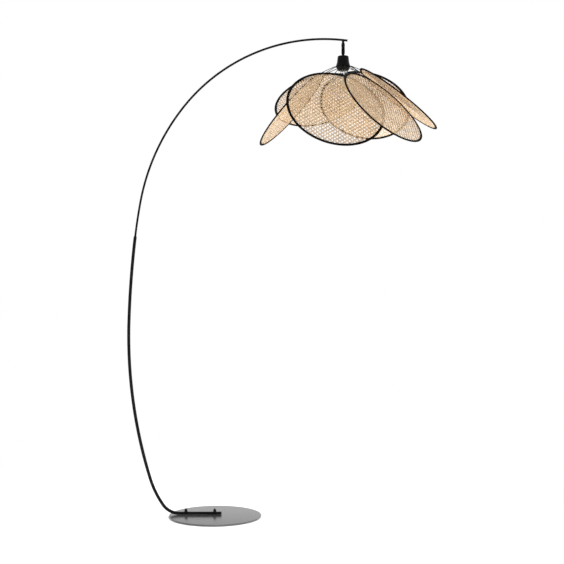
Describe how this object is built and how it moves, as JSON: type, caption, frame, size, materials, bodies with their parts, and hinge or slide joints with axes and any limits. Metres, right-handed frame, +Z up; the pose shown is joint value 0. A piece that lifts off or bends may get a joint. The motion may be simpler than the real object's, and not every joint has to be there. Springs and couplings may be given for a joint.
{
  "type": "rattan floor lamp",
  "caption": "Arched floor lamp: a bent pole on a round plate carries round cane petals on wire loops round a globe bulb; the shade swivels and tilts.",
  "frame": {"origin": "centre of the base's underside, on the floor", "axes": "+Z up, +X from the base toward the shade, -Y toward the viewer of the picture"},
  "size_m": [1.1687, 0.8088, 1.821],
  "materials": {
    "powder_black": "matt powder coat",
    "plate_black": "satin powder coat",
    "zinc_steel": "bright zinc",
    "black_plastic": "moulded, fine texture",
    "felt": "pressed felt",
    "bound_wire": "steel wire bound with black ribbon",
    "cane": "woven cane, natural",
    "brass": "bare brass",
    "bulb_glass": "clear",
    "filament": "phosphor coat"
  },
  "bodies": {
    "stand": {"felt_pad": "felt", "base_plate": "plate_black", "lower_tube": "powder_black", "upper_tube": "powder_black", "foot_plug": "black_plastic", "arm_cap": "black_plastic", "cord_gland": "black_plastic", "pole_flex": "black_plastic", "foot_screw_front": "zinc_steel", "saddle_washer_front": "powder_black", "dome_nut_front": "powder_black", "foot_screw_rear": "zinc_steel", "saddle_washer_rear": "powder_black", "dome_nut_rear": "powder_black", "hanger_boss": "powder_black"},
    "swivel": {"knuckle_upper": "powder_black", "knuckle_screw": "powder_black", "knuckle_nut": "powder_black"},
    "head": {"knuckle_lower": "powder_black", "holder_nipple": "powder_black", "holder_lead": "black_plastic", "holder_bell": "powder_black", "holder_body": "black_plastic", "screw_shell": "brass", "centre_contact": "brass", "shade_ring_upper": "black_plastic", "shade_ring_lower": "black_plastic", "carrier_hub": "powder_black", "bulb_cap": "zinc_steel", "bulb_glass": "bulb_glass", "bulb_stem": "bulb_glass", "bulb_filaments": "filament", "petal_rim_front_left": "bound_wire", "petal_cane_front_left": "cane", "petal_arm_front_left": "powder_black", "petal_rim_front_right": "bound_wire", "petal_cane_front_right": "cane", "petal_arm_front_right": "powder_black", "petal_rim_right": "bound_wire", "petal_cane_right": "cane", "petal_arm_right": "powder_black", "petal_rim_back_right": "bound_wire", "petal_cane_back_right": "cane", "petal_arm_back_right": "powder_black", "petal_rim_back_left": "bound_wire", "petal_cane_back_left": "cane", "petal_arm_back_left": "powder_black", "petal_rim_left": "bound_wire", "petal_cane_left": "cane", "petal_arm_left": "powder_black"}
  },
  "joints": [
    {"name": "head_swivel", "type": "hinge", "parent": "stand", "child": "swivel", "pos_m": [0.48677, 0, 1.78057], "axis": [0, 0, 1], "range_deg": [-170, 170]},
    {"name": "head_tilt", "type": "hinge", "parent": "swivel", "child": "head", "pos_m": [0.48677, 0, 1.78057], "axis": [0, 1, 0], "range_deg": [-25, 25]}
  ]
}
